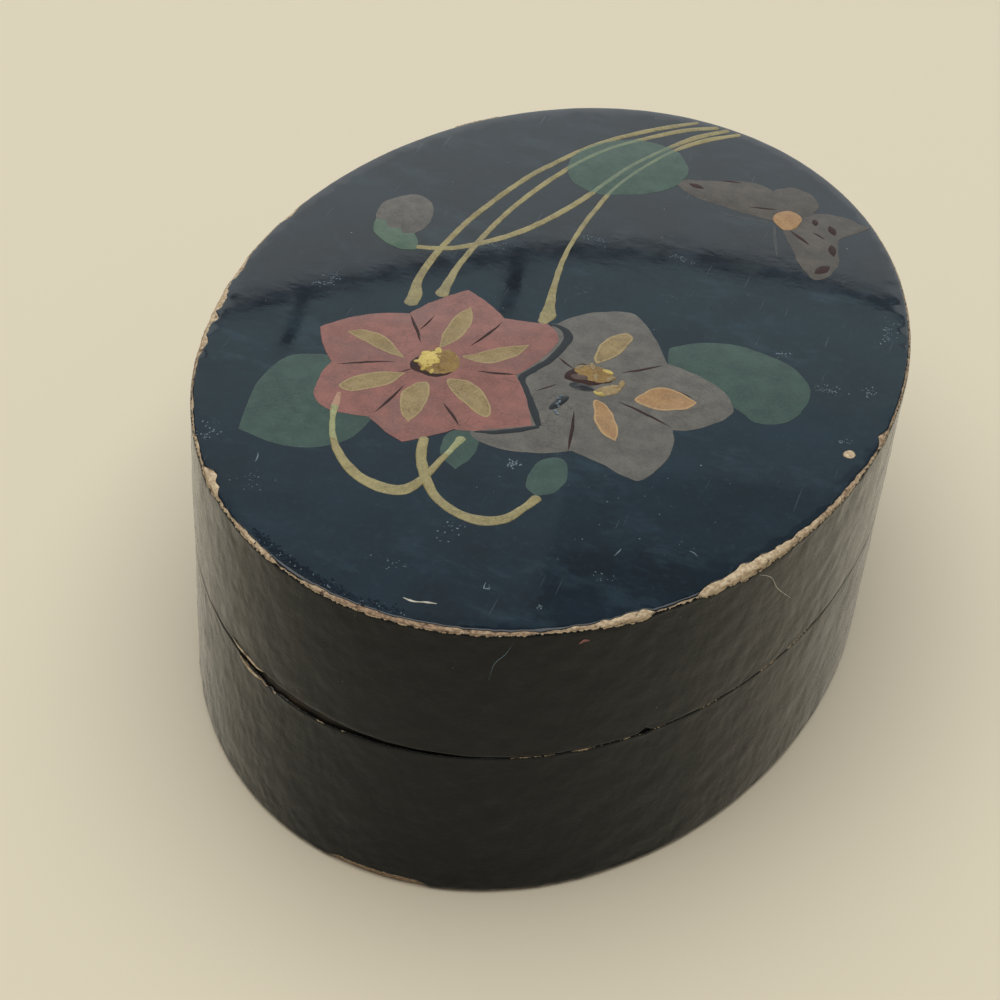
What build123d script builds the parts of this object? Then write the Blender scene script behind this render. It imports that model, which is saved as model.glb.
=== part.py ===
from build123d import *
from math import atan2, cos, degrees, radians, sin
import os

# Oval papier-mache trinket box with a lift-off lid.
#
# Two bands of wound paper are closed by pressed paper boards, one under the base and one on the lid.
# A collar glued inside the base stands up past the seam, and the lid slides down over it.
# Covering papers, lacquered on the outside, wrap both bands and face both boards.
#
# Millimetres. The table is Z = 0, the oval's long axis is Y, and the origin is under its centre.

# Outline seen from above, over the covering papers
length = 104.0
width = 73.0

# Heights over everything
base_height = 18.7
lid_height = 15.5

# Thickness of each paper layer
band_thickness = 1.8
collar_thickness = 1.3
board_thickness = 1.1
cover_thickness = 0.4
facing_thickness = 0.4
underside_thickness = 0.3

# Fit of the lid on the collar
lid_play = 0.3
collar_rise = 8.5
mouth_lead_in = 0.4

# How far the two pasted sheets stop short of the outline
facing_margin = 0.45
underside_margin = 0.9

# Lapped joint of each covering paper, at the back left
lap_length = 7.0
lap_step = 0.22
lap_bearing = 131.0

# Eased edges, each held by the layer that it is worn into
collar_ease = 0.3 * collar_thickness
board_ease = 0.2 * board_thickness
facing_ease = 0.3 * facing_thickness
seam_ease = 0.3 * cover_thickness

# Levels, from the table up
board_bottom = underside_thickness
base_band_bottom = board_bottom + board_thickness
seam = base_height
lid_top = seam + lid_height
lid_board_top = lid_top - facing_thickness
lid_board_bottom = lid_board_top - board_thickness

# Insets of the oval from its outer outline
band_outer = cover_thickness
collar_outer = band_outer + band_thickness
collar_inner = collar_outer + collar_thickness
lid_band_inner = collar_outer - lid_play


def oval(inset, mode=Mode.ADD):
    """The box's outline, drawn in all round by inset."""
    return Ellipse(width / 2 - inset, length / 2 - inset, mode=mode)


def lap_place():
    """Middle of the lapped joint on the outline, turned to lie along it."""
    bearing = radians(lap_bearing)
    x = width / 2 * cos(bearing)
    y = length / 2 * sin(bearing)
    along = degrees(atan2(length / 2 * cos(bearing), -width / 2 * sin(bearing)))
    return Location((x, y, 0), (0, 0, along))


def lap_outline():
    """Outer end of a covering paper, pasted down over its own start."""
    reach = 2 * (cover_thickness + lap_step)
    oval(-lap_step)
    oval(cover_thickness / 2, mode=Mode.SUBTRACT)
    with Locations(lap_place()):
        Rectangle(lap_length, reach + lap_length / 4, mode=Mode.INTERSECT)


# Base: wound band
with BuildPart() as base_wall:
    with BuildSketch(Plane.XY.offset(base_band_bottom)):
        oval(band_outer)
        oval(collar_outer, mode=Mode.SUBTRACT)
    extrude(amount=seam - base_band_bottom)
base_wall.part.label = "base_wall"

# Base: pressed board glued under the band
with BuildPart() as base_bottom_board:
    with BuildSketch(Plane.XY.offset(board_bottom)):
        oval(0)
    extrude(amount=board_thickness)
    chamfer(base_bottom_board.edges().group_by(Axis.Z)[0], board_ease)
base_bottom_board.part.label = "base_bottom_board"

# Base: paper pasted over the underside, short of the board's edge
with BuildPart() as base_underside_paper:
    with BuildSketch():
        oval(underside_margin)
    extrude(amount=underside_thickness)
base_underside_paper.part.label = "base_underside_paper"

# Base: lacquered covering paper round the band
with BuildPart() as base_cover:
    with BuildSketch(Plane.XY.offset(base_band_bottom)):
        oval(0)
        oval(band_outer, mode=Mode.SUBTRACT)
    extrude(amount=seam - base_band_bottom)
    chamfer(base_cover.edges().group_by(Axis.Z)[-1].sort_by(SortBy.LENGTH)[-1], seam_ease)
    with BuildSketch(Plane.XY.offset(base_band_bottom)):
        lap_outline()
    extrude(amount=seam - base_band_bottom - 2 * seam_ease)
base_cover.part.label = "base_cover"

# Base: collar that stands up inside the lid
with BuildPart() as inner_collar:
    with BuildSketch(Plane.XY.offset(base_band_bottom)):
        oval(collar_outer)
        oval(collar_inner, mode=Mode.SUBTRACT)
    extrude(amount=seam + collar_rise - base_band_bottom)
    chamfer(inner_collar.edges().group_by(Axis.Z)[-1], collar_ease)
inner_collar.part.label = "inner_collar"

# Lid: wound band, thinner than the base's by the play it slides with
with BuildPart() as lid_wall:
    with BuildSketch(Plane.XY.offset(seam)):
        oval(band_outer)
        oval(lid_band_inner, mode=Mode.SUBTRACT)
    extrude(amount=lid_board_bottom - seam)
    chamfer(lid_wall.edges().group_by(Axis.Z)[0].sort_by(SortBy.LENGTH)[0], mouth_lead_in)
lid_wall.part.label = "lid_wall"

# Lid: lacquered covering paper round the band
with BuildPart() as lid_cover:
    with BuildSketch(Plane.XY.offset(seam)):
        oval(0)
        oval(band_outer, mode=Mode.SUBTRACT)
    extrude(amount=lid_board_bottom - seam)
    chamfer(lid_cover.edges().group_by(Axis.Z)[0].sort_by(SortBy.LENGTH)[-1], seam_ease)
    with BuildSketch(Plane.XY.offset(seam + 2 * seam_ease)):
        lap_outline()
    extrude(amount=lid_board_bottom - seam - 2 * seam_ease)
lid_cover.part.label = "lid_cover"

# Lid: pressed board glued on the band, its worn edge bare all round
with BuildPart() as lid_top_board:
    with BuildSketch(Plane.XY.offset(lid_board_bottom)):
        oval(0)
    extrude(amount=board_thickness)
    chamfer(lid_top_board.edges().group_by(Axis.Z)[-1], board_ease)
lid_top_board.part.label = "lid_top_board"

# Lid: glossy lacquered facing over the board
with BuildPart() as lid_top_facing:
    with BuildSketch(Plane.XY.offset(lid_board_top)):
        oval(facing_margin)
    extrude(amount=facing_thickness)
    chamfer(lid_top_facing.edges().group_by(Axis.Z)[-1], facing_ease)
lid_top_facing.part.label = "lid_top_facing"

os.makedirs("parts", exist_ok=True)
for piece in (
    base_wall,
    base_bottom_board,
    base_underside_paper,
    base_cover,
    inner_collar,
    lid_wall,
    lid_cover,
    lid_top_board,
    lid_top_facing,
):
    export_step(piece.part, f"parts/{piece.part.label}.step")
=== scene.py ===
import math

import bmesh
import bpy
import numpy as np
from mathutils import Matrix, Vector, noise


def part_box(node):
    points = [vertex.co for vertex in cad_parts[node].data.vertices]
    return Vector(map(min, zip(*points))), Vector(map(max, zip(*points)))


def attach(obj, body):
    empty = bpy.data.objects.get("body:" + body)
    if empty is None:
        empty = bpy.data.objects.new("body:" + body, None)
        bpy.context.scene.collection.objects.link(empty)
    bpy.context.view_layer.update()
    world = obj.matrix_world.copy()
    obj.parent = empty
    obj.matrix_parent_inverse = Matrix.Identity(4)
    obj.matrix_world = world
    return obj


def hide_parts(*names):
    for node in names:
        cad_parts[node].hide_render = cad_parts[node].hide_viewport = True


# Oval papier-mache box with a painted lacquer lid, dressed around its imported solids.
# Metres. The table is Z = 0, the oval's long axis is Y, and the picture on the lid reads with +Y up.

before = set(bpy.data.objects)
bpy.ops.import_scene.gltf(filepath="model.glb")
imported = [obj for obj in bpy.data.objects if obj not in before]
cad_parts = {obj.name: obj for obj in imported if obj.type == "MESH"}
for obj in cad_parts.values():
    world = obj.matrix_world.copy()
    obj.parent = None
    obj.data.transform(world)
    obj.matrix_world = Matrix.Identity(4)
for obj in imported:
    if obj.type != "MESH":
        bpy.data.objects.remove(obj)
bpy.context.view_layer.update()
mm = 0.001

# Sizes and levels, read from the solids
cover_low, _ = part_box("lid_cover")
board_low, board_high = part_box("lid_top_board")
_, facing_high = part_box("lid_top_facing")
floor_board_low, floor_board_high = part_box("base_bottom_board")
half_width = board_high.x
half_length = board_high.y
seam = cover_low.z
board_under = board_low.z
board_over = board_high.z
lid_top = facing_high.z
base_board_under = floor_board_low.z
base_board_over = floor_board_high.z
cover_thickness = 0.4 * mm

# Lapped joint of the covering papers, as on the solids
lap_bearing = math.radians(131)
lap_half_angle = math.radians(4.4)
lap_slope = math.radians(0.3)
lap_step = 0.22 * mm

# The lid's rounded top edge: a small radius, inside a wide and shallow roll-over
shoulder_radius = 0.5 * mm
roll_width = 1.6 * mm
roll_drop = 0.1 * mm

# Fineness of the modelled skins
columns = 1500
wall_rows = 60
bearings = np.linspace(0, 2 * math.pi, columns, endpoint=False)


# Noise and outline helpers

def wander(points, size, seed=0.0):
    """Smooth noise between about -1 and 1 at each point, with features of that size."""
    shift = Vector((seed * 7.31, seed * 3.17, seed * 5.73))
    return np.array([noise.noise(Vector(point) / size + shift) for point in points])


def away_from(centre):
    """Angle between each bearing and centre, in radians."""
    return np.abs((bearings - centre + math.pi) % (2 * math.pi) - math.pi)


def swell(centre, half_angle):
    """A smooth rise to 1 at centre, and 0 beyond half_angle, both in degrees."""
    share = np.clip(away_from(math.radians(centre)) / math.radians(half_angle), 0, 1)
    return 0.5 + 0.5 * np.cos(math.pi * share)


def by_bearing(rows):
    """Values round the outline, in between those given as rows of bearing in degrees and value."""
    return np.interp(np.degrees(bearings), *zip(*rows), period=360)


def shoulder_inset(heights):
    """How far the lid's rounded edge draws in at each height."""
    depth = np.clip(lid_top - heights, 0, shoulder_radius)
    return shoulder_radius - np.sqrt(shoulder_radius ** 2 - (shoulder_radius - depth) ** 2)


def shoulder_height(insets):
    """Height of the lid's top at each inset, over the rounded edge and the roll-over inside it."""
    short = np.clip(shoulder_radius - insets, 0, shoulder_radius)
    drop = shoulder_radius - np.sqrt(shoulder_radius ** 2 - short ** 2)
    return lid_top - drop - roll_drop * np.clip(1 - insets / roll_width, 0, 1) ** 2


def round_the_wall():
    """Distance of each bearing round the outline from the lapped joint."""
    fine = np.linspace(0, 2 * math.pi, 2000)
    steps = np.hypot(half_width * np.sin(fine + lap_bearing), half_length * np.cos(fine + lap_bearing))
    return np.interp((bearings - lap_bearing) % (2 * math.pi), fine, np.cumsum(steps) * fine[1])


distance = round_the_wall()


def wrinkles(heights, size, lean, stretch, seed):
    """Long low folds between about -1 and 1, leaning by that angle on the wall."""
    along = distance * math.cos(lean) + heights * math.sin(lean)
    across = heights * math.cos(lean) - distance * math.sin(lean)
    return wander(np.column_stack([along / stretch, across, 0 * along]), size, seed)


def on_oval(bearings, inset, heights):
    """Points on the box's outline, drawn in by inset."""
    bearings = np.asarray(bearings, float)
    x = (half_width - inset) * np.cos(bearings)
    y = (half_length - inset) * np.sin(bearings)
    return np.stack([x, y, np.broadcast_to(heights, bearings.shape)], -1)


def blank_mesh(name, vertices, faces, smooth=True):
    """An object in the scene from plain vertices and faces, its faces turned outwards."""
    mesh = bpy.data.meshes.new(name)
    mesh.from_pydata([tuple(vertex) for vertex in vertices], [], faces)
    shape = bmesh.new()
    shape.from_mesh(mesh)
    bmesh.ops.recalc_face_normals(shape, faces=shape.faces)
    shape.to_mesh(mesh)
    shape.free()
    for polygon in mesh.polygons:
        polygon.use_smooth = smooth
    piece = bpy.data.objects.new(name, mesh)
    bpy.context.scene.collection.objects.link(piece)
    return piece


def through_rings(name, rings, wrap=False):
    """A closed skin through rings of points. It is capped, or its last ring is joined to its first."""
    rings = np.asarray(rings)
    ring_count, point_count = rings.shape[:2]
    faces = []
    last = ring_count if wrap else ring_count - 1
    for ring in range(last):
        this_ring = ring * point_count
        next_ring = (ring + 1) % ring_count * point_count
        for point in range(point_count):
            beside = (point + 1) % point_count
            faces.append((this_ring + point, this_ring + beside, next_ring + beside, next_ring + point))
    if not wrap:
        faces.append(tuple(range(point_count)))
        faces.append(tuple(range((ring_count - 1) * point_count, ring_count * point_count)))
    return blank_mesh(name, rings.reshape(-1, 3), faces)


def set_wear(piece, values):
    """Keeps how worn each vertex is, from 0 to 1, where the materials can read it."""
    layer = piece.data.attributes.new("wear", "FLOAT", "POINT")
    layer.data.foreach_set("value", np.clip(np.asarray(values, float).ravel(), 0, 1))


# Procedural materials: colours are given as they show on a screen, 0 to 255, and sizes in millimetres

def linear(colour):
    """A colour as light. A node's output stays as it is."""
    if isinstance(colour, bpy.types.NodeSocket):
        return colour
    shares = [part / 255 for part in colour]
    return (*[part / 12.92 if part <= 0.04045 else ((part + 0.055) / 1.055) ** 2.4 for part in shares], 1.0)


class Surface:
    """One node-based material, built up step by step, in the places of the resting object."""

    def __init__(self, name, roughness=0.5, specular=0.5):
        self.material = bpy.data.materials.new(name)
        self.material.use_nodes = True
        self.tree = self.material.node_tree
        self.shader = self.tree.nodes["Principled BSDF"]
        self.feed(self.shader, {"Roughness": roughness, "Specular IOR Level": specular})
        self.place = self.node("TexCoord").outputs["Object"]

    def feed(self, node, inputs):
        """Gives a node's inputs their values, or links them to other nodes' outputs."""
        for socket, value in inputs.items():
            if isinstance(value, bpy.types.NodeSocket):
                self.tree.links.new(value, node.inputs[socket])
            else:
                node.inputs[socket].default_value = value

    def node(self, kind, inputs=None, **settings):
        """A new node with those settings and inputs."""
        node = self.tree.nodes.new("ShaderNode" + kind)
        for setting, value in settings.items():
            setattr(node, setting, value)
        self.feed(node, inputs or {})
        return node

    def spread(self, size, shift, stretch=(1, 1, 1), turn=0.0):
        """The place in steps of size, stretched, turned and shifted."""
        scale = [1 / (size * mm * factor) for factor in stretch]
        inputs = {"Vector": self.place, "Scale": scale, "Rotation": (0, 0, turn), "Location": shift}
        return self.node("Mapping", inputs).outputs["Vector"]

    def noise(self, size, detail=3.0, rough=0.55, stretch=(1, 1, 1), seed=0.0, turn=0.0):
        """Cloudy noise from 0 to 1 with features of about size."""
        place = self.spread(size, (seed * 3.7, seed * 1.9, seed * 2.3), stretch, turn)
        inputs = {"Vector": place, "Scale": 1.0, "Detail": detail, "Roughness": rough}
        return self.node("TexNoise", inputs).outputs["Fac"]

    def cloud(self, size, low, high, *shape, **options):
        """Noise drawn out, so that it is 0 at low and 1 at high."""
        return self.between(self.noise(size, *shape, **options), low, high)

    def cells(self, size, seed, feature="F1"):
        """Distance from each place to its cell's middle or edge, as a share of the cells' size."""
        inputs = {"Vector": self.spread(size, (seed, seed * 2, seed * 3)), "Scale": 1.0}
        return self.node("TexVoronoi", inputs, feature=feature).outputs["Distance"]

    def specks(self, spacing, radius, seed):
        """1 inside small round specks, about one in each cell of that spacing."""
        return self.between(self.cells(spacing, seed), radius / spacing, 0.6 * radius / spacing)

    def cracks(self, size, width, seed):
        """1 along a net of fine cracks between plates of that size."""
        return self.between(self.cells(size, seed, "DISTANCE_TO_EDGE"), width / size, 0.3 * width / size)

    def between(self, value, low, high):
        """0 at low and 1 at high, smoothly, with the ends held."""
        inputs = {"Value": value, "From Min": min(low, high), "From Max": max(low, high)}
        if low > high:
            inputs |= {"To Min": 1.0, "To Max": 0.0}
        return self.node("MapRange", inputs, interpolation_type="SMOOTHSTEP").outputs["Result"]

    def times(self, first, second):
        return self.node("Math", {0: first, 1: second}, operation="MULTIPLY").outputs[0]

    def plus(self, first, second):
        return self.node("Math", {0: first, 1: second}, operation="ADD").outputs[0]

    def mix(self, share, first, second):
        """A colour between first and second."""
        inputs = {"Factor": share, "A": linear(first), "B": linear(second)}
        return self.node("Mix", inputs, data_type="RGBA").outputs["Result"]

    def over(self, colour, share, amount, tint):
        """A colour with a tint laid over it, by amount where share is 1."""
        return self.mix(self.times(share, amount), colour, tint)

    def wear(self):
        """How worn the skin is, kept on its vertices."""
        return self.node("Attribute", attribute_name="wear").outputs["Fac"]

    def bump(self, height, depth, under=None):
        """Adds relief of that depth over the relief already there."""
        inputs = {"Height": height, "Strength": 1.0, "Distance": depth * mm}
        if under is not None:
            inputs["Normal"] = under
        return self.node("Bump", inputs).outputs["Normal"]

    def finish(self, colour, normal=None, roughness=None):
        inputs = {"Base Color": linear(colour), "Normal": normal, "Roughness": roughness}
        self.feed(self.shader, {socket: value for socket, value in inputs.items() if value is not None})
        return self.material


# The lid's twist, about a line turned on the lid: drop per cubic millimetre, turn, and the line's shift
lid_twist = -1.1e-5
lid_twist_turn = math.radians(-16)
lid_twist_shift = (-12, 0, 0)


def top_waves(skin):
    """The lid's slightly warped and uneven top, which bends what it reflects."""
    turned = skin.spread(1, lid_twist_shift, turn=lid_twist_turn)
    split = skin.node("SeparateXYZ", {0: turned}).outputs
    twisted = skin.times(skin.times(split["X"], split["X"]), split["Y"])
    warp = skin.bump(skin.times(twisted, lid_twist), 1)
    slow = skin.bump(skin.noise(11, 1.0, seed=1), 0.010, warp)
    quick = skin.bump(skin.noise(2.4, stretch=(1.6, 1, 1), seed=2), 0.0034, slow)
    return skin.bump(skin.noise(0.5, 2.0, seed=3), 0.0004, quick)


def top_lacquer():
    """Glossy, nearly black lacquer with a blue cast, finely scratched and dusty."""
    skin = Surface("top_lacquer")
    colour = skin.mix(skin.cloud(9, 0.35, 0.7, 5.0, 0.6, seed=4), (0, 13, 25), (7, 25, 38))
    smear = skin.cloud(5, 0.52, 0.70, 6.0, 0.7, (1.8, 1, 1), seed=9, turn=0.4)
    colour = skin.over(colour, smear, 0.18, (60, 84, 98))
    colour = skin.over(colour, skin.cloud(0.9, 0.5, 0.75, 5.0, 0.75, seed=10), 0.14, (60, 82, 94))
    scuff = skin.times(skin.cloud(5, 0.62, 0.74, 5.0, 0.7, seed=5), skin.cloud(0.5, 0.45, 0.7, seed=6))
    colour = skin.over(colour, scuff, 0.3, (86, 100, 112))
    hair = skin.cloud(0.25, 0.74, 0.8, 1.0, 0.4, (1, 30, 1), seed=7, turn=0.9)
    colour = skin.over(colour, hair, 0.3, (90, 100, 110))
    colour = skin.over(colour, skin.specks(4.6, 0.12, 2), 0.5, (150, 158, 158))
    gloss = skin.times(skin.cloud(4, 0.3, 0.8, 4.0, 0.6, seed=8), 0.05)
    rough = skin.plus(skin.plus(gloss, 0.03), skin.times(scuff, 0.25))
    return skin.finish(colour, top_waves(skin), rough)


def side_lacquer():
    """Satin brown-black lacquer over paper whose fibres and lumps show through."""
    skin = Surface("side_lacquer", specular=0.25)
    sheen = {"Sheen Weight": 0.28, "Sheen Roughness": 0.3, "Sheen Tint": (1.0, 0.96, 0.88, 1.0)}
    skin.feed(skin.shader, sheen)
    colour = skin.mix(skin.cloud(7, 0.3, 0.75, 4.0, seed=11), (2, 8, 12), (8, 13, 16))
    mottle = skin.cloud(2.2, 0.5, 0.72, 5.0, 0.65, (1, 1, 0.7), seed=19)
    colour = skin.over(colour, mottle, 0.4, (26, 33, 39))
    rub = skin.cloud(1.1, 0.6, 0.78, 5.0, 0.7, (1, 1, 2.2), seed=12)
    colour = skin.over(colour, rub, 0.3, (48, 42, 34))
    colour = skin.over(colour, skin.specks(3.4, 0.12, 5), 0.4, (120, 112, 98))
    fray = skin.times(skin.cloud(0.35, 0.3, 0.7, seed=13), 0.35)
    worn = skin.between(skin.plus(skin.wear(), fray), 0.62, 0.8)
    paper = skin.mix(skin.noise(0.9, seed=14), (150, 124, 92), (196, 178, 146))
    rough = skin.plus(skin.times(skin.cloud(3, 0.25, 0.8, 4.0, 0.6, seed=15), 0.14), 0.18)
    rough = skin.plus(rough, skin.times(worn, 0.4))
    pebbles = skin.bump(skin.noise(0.9, 4.0, 0.6, seed=17), 0.05)
    fibres = skin.bump(skin.noise(0.3, 2.0, 0.5, (3, 3, 1), seed=18), 0.012, pebbles)
    return skin.finish(skin.mix(worn, colour, paper), fibres, rough)


def bare_board():
    """Pressed paper, cream to tan-orange as its wear goes from 0 to a half, and blackened at 1."""
    skin = Surface("bare_board", 0.85, 0.25)
    grain = skin.noise(0.45, 4.0, 0.6, (1, 1, 0.5), seed=21)
    streaks = skin.between(grain, 0.3, 0.7)
    cream = skin.mix(streaks, (160, 138, 110), (212, 194, 164))
    tan = skin.mix(streaks, (116, 94, 76), (178, 152, 126))
    stain = skin.plus(skin.times(skin.wear(), 1.2), skin.noise(2.4, 4.0, 0.6, seed=22))
    colour = skin.mix(skin.between(stain, 0.55, 0.95), cream, tan)
    colour = skin.over(colour, skin.cloud(1.3, 0.58, 0.66, 4.0, 0.65, seed=23), 0.75, (58, 46, 38))
    colour = skin.mix(skin.between(skin.wear(), 0.7, 1.0), colour, (30, 27, 24))
    return skin.finish(colour, skin.bump(grain, 0.04))


def inside_lacquer():
    """Thin matte black lacquer brushed over wound paper, worn brown in places."""
    skin = Surface("inside_lacquer", 0.6, 0.35)
    colour = skin.mix(skin.cloud(5, 0.3, 0.7, 4.0, 0.6, seed=31), (24, 21, 18), (42, 37, 31))
    rub = skin.cloud(1.2, 0.6, 0.75, 4.0, 0.65, (3, 3, 1), seed=32)
    layers = skin.noise(0.7, 3.0, 0.5, (6, 6, 1), seed=33)
    return skin.finish(skin.over(colour, rub, 0.5, (92, 70, 48)), skin.bump(layers, 0.03))


def underside_paper():
    """Dull dark paper under the box, scuffed where it stands."""
    skin = Surface("underside_paper", 0.75, 0.3)
    colour = skin.mix(skin.noise(8, seed=42), (34, 30, 27), (52, 46, 40))
    scuff = skin.cloud(3, 0.52, 0.7, 5.0, 0.7, seed=41)
    fibres = skin.noise(0.6, 3.0, 0.6, (2.5, 1, 1), seed=43)
    return skin.finish(skin.over(colour, scuff, 0.5, (112, 92, 68)), skin.bump(fibres, 0.03))


def paint(name, thin, thick, seed, worn=(40, 44, 50), rim=None, roughness=0.42, cracked=0.45, shine=0.4):
    """Brushed paint between two colours, grainy and finely cracked, the black showing where it is thin.

    rim is the colour of its thick edge, where the wear kept on the vertices is 1.
    """
    skin = Surface(name, roughness, shine)
    colour = skin.mix(skin.cloud(2.2, 0.3, 0.7, 4.0, 0.6, seed=seed), thin, thick)
    dull = [0.5 * part + 0.5 * sum(thin) / 3 for part in thin]
    colour = skin.over(colour, skin.cloud(7, 0.45, 0.68, 5.0, 0.65, seed=seed + 6), 0.5, dull)
    if rim:
        edge = skin.plus(skin.wear(), skin.noise(0.5, seed=seed + 5))
        colour = skin.mix(skin.between(edge, 0.75, 1.25), colour, rim)
    bright = [part * 1.35 for part in thick]
    colour = skin.over(colour, skin.cloud(0.28, 0.38, 0.75, 3.0, 0.7, seed=seed + 1), 0.25, bright)
    colour = skin.over(colour, skin.cloud(0.4, 0.58, 0.70, 5.0, 0.75, seed=seed + 2), 0.65, worn)
    net = skin.times(skin.cracks(1.3, 0.05, seed), skin.cloud(5, 0.48, 0.62, 4.0, 0.6, seed=seed + 4))
    colour = skin.over(colour, net, cracked, worn)
    relief = skin.bump(skin.noise(0.5, 3.0, 0.6, seed=seed + 3), 0.012, top_waves(skin))
    return skin.finish(colour, relief)


lacquer_material = top_lacquer()
side_material = side_lacquer()
board_material = bare_board()
inside_material = inside_lacquer()
underside_material = underside_paper()


def dress(piece, material, body, slot, *nodes):
    """Gives a piece its finish and its body, and hides the solids that it stands for. slot is not used."""
    piece.data.materials.append(material)
    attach(piece, body)
    if nodes:
        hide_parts(*nodes)


def recolour(node, material):
    """Gives a solid that stays in view its finish."""
    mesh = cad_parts[node].data
    mesh.materials.clear()
    mesh.materials.append(material)


# Covering papers round the lid and the base, each with a lapped end that stands out

lap_rise = lap_step * np.clip((lap_half_angle - away_from(lap_bearing)) / lap_slope, 0, 1)


def covering(name, low, high, low_back, high_back, wear_low, wear_high, pebbly):
    """A covering paper between two ragged edges, wrinkled and lumpy outside.

    Its back is at cover_thickness beside the wound band, and close behind the front beyond
    low_back and high_back, where the paper is turned over the edge of a board. Near the lid's
    top it bends inwards with the shoulder.
    """
    over_board = 0.13 * mm
    rings = []
    wear = []
    for row in range(wall_rows):
        share = row / (wall_rows - 1)
        share = 0.5 - 0.5 * math.cos(math.pi * share) if row not in (0, wall_rows - 1) else share
        heights = low + (high - low) * share
        flat = on_oval(bearings, 0, heights)
        relief = 0.08 * mm * wander(flat, 9 * mm, 1.0) + 0.055 * mm * wander(flat, 2.4 * mm, 2.0)
        relief = relief + (0.018 * mm + 0.03 * mm * pebbly) * wander(flat, 0.9 * mm, 3.0)
        relief = relief + 0.035 * mm * wrinkles(heights, 1.9 * mm, 0.6, 2.4, 4.0)
        relief = relief + 0.018 * mm * wrinkles(heights, 1.0 * mm, -0.3, 2.2, 5.0)
        edge = np.minimum(heights - low, high - heights)
        relief = relief * np.clip(edge / (0.5 * mm), 0.35, 1)
        turned = 0.08 * mm * np.clip(1 - edge / (0.25 * mm), 0, 1) ** 2
        inset = turned + shoulder_inset(heights) - relief - lap_rise
        rings.append(on_oval(bearings, inset, heights))
        near_low = np.clip(1 - (heights - low) / (0.45 * mm), 0, 1)
        near_high = np.clip(1 - (high - heights) / (0.3 * mm), 0, 1)
        wear.append(np.maximum(near_low * wear_low, near_high * wear_high))
    back = [
        (high - 0.02 * mm, over_board, wear_high),
        (np.minimum(high - 0.03 * mm, high_back), over_board, wear_high),
        (np.minimum(high - 0.35 * mm, high_back), cover_thickness, 0 * wear_high),
        (np.maximum(low + 0.04 * mm, low_back), cover_thickness, 0 * wear_low),
        (np.maximum(low + 0.03 * mm, low_back), over_board, 0.5 * wear_low),
        (low + 0.02 * mm, over_board, 0.5 * wear_low),
    ]
    for heights, inset, worn in back:
        rings.append(on_oval(bearings, inset + shoulder_inset(heights), heights))
        wear.append(worn)
    piece = through_rings(name, rings, wrap=True)
    set_wear(piece, wear)
    return piece


def edge_noise(height, size, seed):
    """Noise along the box's outline."""
    return wander(on_oval(bearings, 0, height), size, seed)


# Width of bare board along the lid's top edge, in millimetres, by bearing
bare_edge = by_bearing([
    (-180, 0.2), (-178, 0.15), (-176, 1.0), (-172.6, 0.9), (-172, 0.25), (-170, 0.4), (-169, 1.3),
    (-165.5, 1.2), (-164.8, 0.4), (-163.5, 1.4), (-161.5, 1.2), (-161, 0.6), (-158.5, 1.2), (-156, 0.9),
    (-155, 0.2), (-146.5, 0.1), (-145, 0.4),
    (-143, 0.1), (-138.5, 0.12), (-137, 0.35), (-135, 0.1), (-132, 0.12), (-130.5, 1.35), (-127, 1.15),
    (-125.5, 0.2), (-120, 0.2), (-118.5, 0.5), (-111, 0.45), (-109.5, 0.06), (-105.5, 0.06),
    (-104, 0.4), (-95, 0.5), (-85, 0.4), (-80, 0.42), (-71, 0.3), (-69.5, 0.06), (-66.5, 0.08),
    (-64, 0.45), (-55, 0.95), (-53.5, 0.05), (-47.5, 0.05), (-46, 1.15), (-40, 1.35), (-34, 1.1),
    (-31, 0.6), (-16, 0.5), (-14, 0.1), (-9.5, 0.12), (-8, 0.9), (-6, 0.12), (10, 0.08), (36, 0.1),
    (38, 0.35), (41, 0.08), (95, 0.05), (97, 0.2), (99, 0.05), (139, 0.08), (141, 0.35), (144, 0.08),
    (168, 0.12), (171, 0.8), (173, 0.3),
])
tanned_edge = by_bearing([
    (-150, 0.1), (-121, 0.1), (-106, 0.2), (-100, 0.3), (-74, 0.3), (-64, 0.15), (-36, 0.0), (-20, 0.2),
    (0, 0.2),
])
calm_behind = 1 - 0.75 * swell(80, 95)
lumpy = 1 + 0.5 * edge_noise(lid_top, 0.9 * mm, 4.0) + 0.35 * edge_noise(lid_top, 3 * mm, 14.0)
bare_edge = 0.72 * bare_edge * mm * np.clip(lumpy, 0.2, 1.8) * calm_behind

# Seam between lid and base: how far it gapes, in millimetres, with torn chips and a notch
gape = mm * by_bearing([
    (-128, 0.0), (-121, 0.15), (-116, 0.6), (-110, 1.1), (-100, 1.05), (-94, 0.6), (-87, 0.32), (-80, 0.16),
    (-74, 0.05), (-60, 0.0), (150, 0.0), (170, 0.06), (180, 0.02),
])
gape = gape * (1 + 0.3 * edge_noise(seam, 3 * mm, 5.0))
torn = 0.55 * mm * by_bearing([(-120, 0), (-118, 1), (-111, 0.8), (-109, 0), (0, 0)])
torn = torn * np.clip(0.5 + 1.2 * edge_noise(seam, 0.8 * mm, 6.0), 0, 1.4)
notch = 0.5 * mm * swell(-52.6, 1.1)
hairline = 0.06 * mm * (1 + edge_noise(seam, 1.3 * mm, 7.0))

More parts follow.
